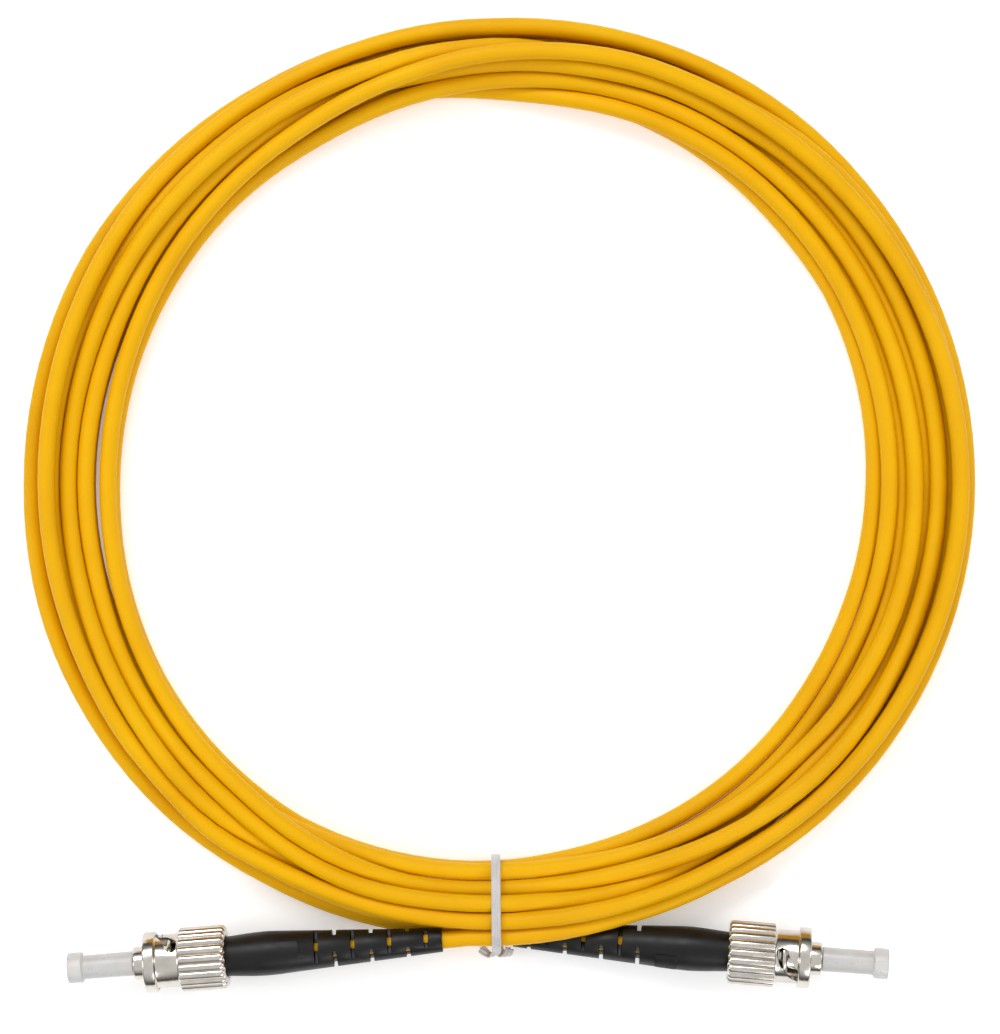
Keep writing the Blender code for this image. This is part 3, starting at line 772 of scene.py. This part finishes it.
def make_plug(key, matrix):
    """The plug's backbone, with its rounded collar and alignment key, the ferrule and the inner parts."""
    body = (
        (34.4, 0.9),
        (34.4, 1.9),
        (39.5, 1.9),
        (39.5, 2.9),
        (39.9, 2.9),
        (39.9, 2.5),
        (40.7, 2.5),
        (40.7, 2.9),
        (46.6, 2.9),
        (46.6, 3.85),
        (47.4, 3.85),
        (47.4, 2.825),
        (50.9, 2.825),
        (51.05, 2.7),
        (51.25, 2.7),
        (51.4, 2.825),
        (53.45, 2.825),
        (53.45, 1.31),
        (44.8, 1.31),
        (44.8, 0.9),
    )
    backbone = lathe("plug_backbone_" + key, filleted(body, 0.32, 4), ROUND, matrix)
    bm = bmesh.new()
    rounded_box(bm, (50.4, -0.5, -3.55), (53.0, 0.5, -2.4), Matrix.Identity(4), 0.12)
    combine(backbone, bm, "UNION", matrix)
    finish_piece(backbone, "nickel_plate", "cord_assembly", ("plug_body_" + key,))

    tip = (
        (44.95, 0.52),
        (44.95, 1.25),
        (61.85, 1.25),
        (62.3, 0.85),
        (62.3, 0.0),
        (48.15, 0.0),
        (47.95, 0.52),
    )
    ferrule = lathe("ceramic_ferrule_" + key, filleted(tip, 0.15, 3), ROUND, matrix)
    finish_piece(ferrule, "zirconia", "cord_assembly", ("ferrule_" + key,))

    crimp = (
        (30.7, 1.6),
        (30.7, 2.0),
        (33.9, 2.0),
        (34.3, 2.6),
        (39.2, 2.6),
        (39.2, 2.22),
        (34.1, 2.22),
        (33.9, 1.6),
    )
    sleeve = lathe("crimp_ring_" + key, filleted(crimp, 0.12, 3), ROUND, matrix, crimp_wave)
    finish_piece(sleeve, "crimp_brass", "cord_assembly", ("crimp_sleeve_" + key,))

    tube = ((34.5, 0.55), (34.5, 0.85), (44.65, 0.85), (44.65, 0.55))
    guide = lathe("inner_tube_" + key, filleted(tube, 0.06, 2), 48, matrix)
    finish_piece(guide, "crimp_brass", "cord_assembly", ("guide_tube_" + key,))

    fibre = ((34.0, 0.0), (34.0, 0.45), (47.75, 0.45), (47.75, 0.0))
    buffered = lathe("fibre_buffer_" + key, filleted(fibre, 0.08, 3), 48, matrix)
    finish_piece(buffered, "buffer_plastic", "cord_assembly", ("buffered_fibre_" + key,))

    yarn = ((34.25, 1.95), (34.25, 2.16), (39.1, 2.16), (39.1, 1.95))
    strands = lathe("yarn_layer_" + key, filleted(yarn, 0.05, 2), 192, matrix, yarn_wave)
    finish_piece(strands, "aramid", "cord_assembly", ("aramid_yarn_" + key,))

    washer = ((42.35, 3.02), (42.35, 3.9), (42.75, 3.9), (42.75, 3.02))
    ring = lathe("pressure_washer_" + key, filleted(washer, 0.1, 3), ROUND, matrix)
    finish_piece(ring, "spring_steel", "nut_carrier_" + key, ("spring_washer_" + key,))


def crimp_wave(turn, station, radius):
    """Shallow flats pressed round the crimped front of the sleeve."""
    if station < 34.6 or station > 39.0 or radius < 2.4:
        return 0.0
    return -0.09 * (0.5 - 0.5 * math.cos(6 * turn)) ** 3


def yarn_wave(turn, station, radius):
    """Strand after strand of yarn laid side by side."""
    return -0.05 * abs(math.sin(24 * turn + 0.4 * station)) if radius > 2.05 else 0.0


def make_clip(key, matrix):
    """The open retaining ring, round-edged, with its gap at the top."""
    centres, normals, sides = [], [], []
    for i in range(73):
        turn = math.radians(22.0 + 316.0 * i / 72)
        outwards = Vector((0.0, -math.sin(turn), math.cos(turn)))
        centres.append(Vector((40.3, 0.0, 0.0)) + outwards * 3.04)
        normals.append(outwards)
        sides.append(Vector((1.0, 0.0, 0.0)))
    section = filleted(((-0.3, 0.46), (0.3, 0.46), (0.3, -0.46), (-0.3, -0.46)), 0.12, 3)
    clip = sweep("snap_ring_" + key, centres, normals, sides, section, matrix)
    finish_piece(clip, "spring_steel", "cord_assembly", ("retaining_clip_" + key,))


def make_spring(key, matrix):
    """The compression spring between the body's flange and the nut's washer, wound at an even pitch."""
    low = NUT_SHOULDER[1] + 0.55 + SPRING_WIRE
    high = 46.6 - 0.1 - SPRING_WIRE
    count = round(SPRING_TURNS * SPRING_STEPS)
    along = Vector((1.0, 0.0, 0.0))
    bm = bmesh.new()
    rings = []
    for i in range(count + 1):
        turn = math.tau * i / SPRING_STEPS
        x = low + (high - low) * i / count
        outwards = Vector((0.0, math.sin(turn), math.cos(turn)))
        centre = Vector((x, 0.0, 0.0)) + outwards * SPRING_RADIUS
        ring = []
        for k in range(WIRE_STEPS):
            around = math.tau * k / WIRE_STEPS
            p = centre + outwards * SPRING_WIRE * math.cos(around) + along * SPRING_WIRE * math.sin(around)
            ring.append(bm.verts.new(p * MM))
        rings.append(ring)
    close_over(bm, rings)
    spring = mesh_piece("return_spring_" + key, bm, matrix)
    finish_piece(spring, "spring_steel", "cord_assembly", ("nut_spring_" + key,))
    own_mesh(spring)


def make_boot(key, matrix):
    """The strain relief boot: tapered, slotted in turn on both sides, with a plain raised pad."""
    profile = (
        (0.0, 1.65),
        (0.0, 2.05),
        *BOOT_SHOULDER,
        (33.0, 3.72),
        (37.1, 3.4),
        (38.3, 3.4),
        (38.3, 2.75),
        (30.3, 2.75),
        (30.3, 1.65),
    )
    boot = lathe("strain_relief_" + key, filleted(profile, 1.1, 6, exact=(2,)), ROUND, matrix)
    for row in range(SLOT_ROWS):
        station = FIRST_SLOT + row * SLOT_PITCH
        bm = bmesh.new()
        for side in (0.0, 180.0):
            roll = Matrix.Rotation(math.radians(BOOT_ROLLS[key] + 90.0 * (row % 2) + side), 4, "X")
            low = (station - SLOT_HALF_WIDTH, -4.5, 1.45)
            high = (station + SLOT_HALF_WIDTH, 4.5, 5.0)
            rounded_box(bm, low, high, roll, 0.16)
        combine(boot, bm, "DIFFERENCE", matrix)
    combine(boot, pad_solid(PAD_ROLLS[key]), "UNION", matrix)
    soften(boot, 0.07)
    finish_piece(boot, "boot_rubber", "cord_assembly", ("boot_" + key,))


def pad_solid(roll):
    """A plain raised pad that follows the boot's surface, with rounded corners."""
    bm = bmesh.new()
    across = 14
    along = 14
    rows = []
    for i in range(along + 1):
        station = PAD_START + (PAD_END - PAD_START) * i / along
        inset = 0.0
        nearest = min(station - PAD_START, PAD_END - station)
        if nearest < PAD_CORNER:
            inset = PAD_CORNER - math.sqrt(max(0.0, PAD_CORNER ** 2 - (PAD_CORNER - nearest) ** 2))
        row = []
        for level in (-0.5, PAD_RISE):
            for k in range(across + 1):
                side = (PAD_HALF_WIDTH - inset) * (2.0 * k / across - 1.0)
                radius = float(np.interp(station, *zip(*BOOT_SHOULDER))) + level
                turn = math.radians(roll) + side / 3.6
                place = (station * MM, -radius * math.sin(turn) * MM, radius * math.cos(turn) * MM)
                row.append(bm.verts.new(place))
        rows.append(row[: across + 1] + row[: across : -1])
    close_over(bm, rows)
    return bm


def make_cap(key, matrix):
    """The soft dust cap over the ferrule, with its wider gripping head."""
    profile = (
        (53.55, 1.35),
        (53.55, 2.075),
        (62.3, 2.045),
        (62.45, 2.6),
        (64.0, 2.65),
        (64.9, 2.6),
        (64.9, 1.5),
        (64.55, 1.35),
        (64.55, 0.0),
        (62.8, 0.0),
        (62.8, 1.35),
    )
    cap = lathe("dust_cover_" + key, filleted(profile, 0.22, 4), ROUND, matrix)
    finish_piece(cap, "cap_plastic", "cap_" + key, ("dust_cap_" + key,))


def make_connectors():
    """Every piece of both ends, each riding on its own body."""
    for key, matrix in ENDS.items():
        make_nut(key, matrix)
        make_plug(key, matrix)
        make_clip(key, matrix)
        make_spring(key, matrix)
        make_boot(key, matrix)
        make_cap(key, matrix)


make_connectors()


# ---------------------------------------------------------------- the tie

TIE_CLOCK = 270.5
# The tie's path: radius from the coil's centre, height, and how far to the right
TIE_ROUTE = (
    (80.8, 3.1, -2.7),
    (81.3, 2.9, -2.2),
    (82.0, 2.6, -1.3),
    (82.0, 3.1, -0.5),
    (81.4, 4.4, -0.1),
    (80.7, 6.3, 0.0),
    (79.8, 8.0, 0.0),
    (77.9, 9.3, 0.0),
    (75.3, 10.0, 0.0),
    (72.2, 9.5, 0.0),
    (69.1, 8.9, 0.0),
    (66.7, 7.75, 0.0),
    (64.95, 5.9, 0.0),
    (64.65, 3.8, 0.0),
    (64.9, 1.4, 0.0),
    (66.4, 0.38, 0.0),
    (72.0, 0.36, 0.0),
    (79.0, 0.36, 0.2),
    (81.2, 0.55, 0.4),
    (82.2, 1.3, 0.9),
    (82.2, 2.4, 1.6),
    (81.5, 3.2, 2.1),
    (80.8, 3.6, 2.3),
)
TIE_HALF_WIDTH = 0.8
TIE_HALF_THICKNESS = 0.28
TIE_WIRE_RADIUS = 0.12
TIE_SPACING = 0.45
# How far each bent end turns its flat side up, and over what length
TIE_TWIST = 75.0
TIE_TWIST_LENGTH = 4.0


def make_tie():
    """The twist tie: a milky strip with two lengthwise ridges, a wire inside, and bent ends."""
    route = smooth_route(TIE_ROUTE, TIE_SPACING)
    around = math.radians(TIE_CLOCK)
    outwards = Vector((math.cos(around), math.sin(around), 0.0))
    across = Vector((-math.sin(around), math.cos(around), 0.0))
    up = Vector((0.0, 0.0, 1.0))
    middle = Vector((*COIL_CENTRE, 0.0))
    centres = [middle + outwards * p.x + up * p.y + across * p.z for p in route]
    neighbours = zip(centres[:1] + centres[:-1], centres[1:] + centres[-1:])
    runs = [(after - before).normalized() for before, after in neighbours]
    sides = [across] * len(centres)
    start = len(centres) // 2
    for order in (range(start, len(centres)), range(start, -1, -1)):
        side = across.copy()
        for i in order:
            side = (side - runs[i] * side.dot(runs[i])).normalized()
            left = min(i, len(centres) - 1 - i) * TIE_SPACING
            ease = max(0.0, 1.0 - left / TIE_TWIST_LENGTH)
            turn = math.radians(TIE_TWIST) * ease * ease * (3.0 - 2.0 * ease)
            sides[i] = Matrix.Rotation(turn if i < start else -turn, 3, runs[i]) @ side
    normals = [run.cross(side).normalized() for run, side in zip(runs, sides)]
    half = []
    for k in range(25):
        x = -1.0 + 2.0 * k / 24
        ridge = 0.34 * math.exp(-(((abs(x) - 0.74) / 0.15) ** 2)) + 0.62 * math.exp(-((x / 0.24) ** 2))
        edge = math.sqrt(max(0.0, 1.0 - abs(x) ** 8))
        half.append((x * TIE_HALF_WIDTH, TIE_HALF_THICKNESS * (0.38 + ridge) * max(edge, 0.12)))
    section = half + [(x, -y) for x, y in reversed(half)]
    strip = sweep("tie_band", centres, normals, sides, section)
    finish_piece(strip, "tie_plastic", "cord_assembly", ("tie_strip",))
    ends = [centres[0] + (centres[0] - centres[1]).normalized() * 0.25]
    ends += centres
    ends.append(centres[-1] + (centres[-1] - centres[-2]).normalized() * 0.25)
    core = tube_curve("tie_core", ends, TIE_WIRE_RADIUS, 3)
    finish_piece(core, "spring_steel", "cord_assembly", ("tie_wire",))


make_tie()


# ---------------------------------------------------------------- stage


def make_stage():
    """Floor, lights and camera."""
    bm = bmesh.new()
    bmesh.ops.create_grid(bm, x_segments=2, y_segments=2, size=12.0)
    mesh = bpy.data.meshes.new("floor")
    bm.to_mesh(mesh)
    bm.free()
    floor = bpy.data.objects.new("floor", mesh)
    floor.location = (0.0, 0.0, -0.0002)
    floor.data.materials.append(floor_material())
    bpy.context.scene.collection.objects.link(floor)

    def softbox(name, place, aim, size, energy):
        light = bpy.data.lights.new(name, "AREA")
        light.shape = "RECTANGLE"
        light.size, light.size_y = size
        light.energy = energy
        lamp = bpy.data.objects.new(name, light)
        lamp.location = place
        lamp.rotation_euler = (Vector(aim) - Vector(place)).to_track_quat("-Z", "Y").to_euler()
        bpy.context.scene.collection.objects.link(lamp)

    aim = (0.003, 0.07, 0.0)
    softbox("key_light", (-0.25, 0.75, 0.75), aim, (0.7, 0.35), 5.4)
    softbox("fill_light", (0.35, -0.65, 0.6), aim, (0.6, 0.3), 2.6)
    softbox("left_light", (-0.8, -0.05, 0.45), aim, (0.25, 0.6), 1.6)
    softbox("right_light", (0.8, 0.2, 0.45), aim, (0.25, 0.6), 1.4)

    world = bpy.data.worlds.new("studio")
    world.use_nodes = True
    tree = world.node_tree
    background = tree.nodes["Background"]
    direction = tree.nodes.new("ShaderNodeTexCoord")
    parts = tree.nodes.new("ShaderNodeSeparateXYZ")
    tree.links.new(direction.outputs["Generated"], parts.inputs["Vector"])
    greys = ((0.0, 0.05), (0.22, 0.08), (0.5, 0.55), (0.8, 1.0))
    sky = tuple((place, (grey, grey, grey)) for place, grey in greys)
    tree.links.new(ramp(tree, parts.outputs["Z"], sky), background.inputs["Color"])
    background.inputs["Strength"].default_value = 0.85
    bpy.context.scene.world = world

    camera_data = bpy.data.cameras.new("camera")
    camera_data.lens = 90.0
    camera_data.sensor_fit = "VERTICAL"
    camera_data.sensor_height = 36.0
    camera = bpy.data.objects.new("camera", camera_data)
    camera.location = (0.00366, 0.07611, 0.4535)
    bpy.context.scene.collection.objects.link(camera)
    bpy.context.scene.camera = camera
    bpy.context.scene.view_settings.view_transform = "Standard"


make_stage()
